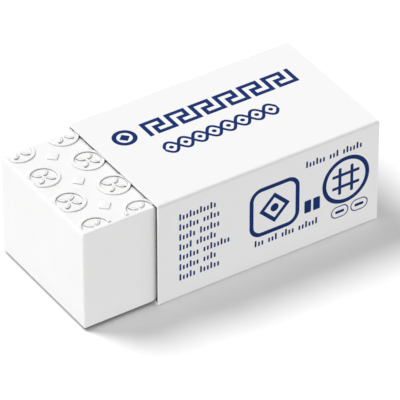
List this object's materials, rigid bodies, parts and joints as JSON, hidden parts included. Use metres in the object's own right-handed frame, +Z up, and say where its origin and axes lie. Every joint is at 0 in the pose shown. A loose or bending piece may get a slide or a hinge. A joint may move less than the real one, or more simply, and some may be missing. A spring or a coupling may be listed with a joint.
{
  "type": "vinyl eraser",
  "caption": "White rectangular vinyl eraser in a folded card sleeve, which it slides through as its working end wears down.",
  "frame": {"origin": "under the middle of the whole eraser, on the surface that the sleeve lies on", "axes": "+X along the block, away from its working end; +Z up, through the block's thinnest way; the sleeve's plain front panel faces -Y and its glued lap +Y"},
  "size_m": [0.0358, 0.0172, 0.0127],
  "materials": {
    "vinyl": "matte",
    "card": "semi-matte coated card with dark blue print"
  },
  "bodies": {
    "sleeve": {"card_sleeve": "card"},
    "eraser": {"eraser_block": "vinyl"}
  },
  "joints": [
    {"name": "block_slide", "type": "slide", "parent": "sleeve", "child": "eraser", "axis": [-1, 0, 0], "range_m": [-0.0086, 0.0275]}
  ]
}
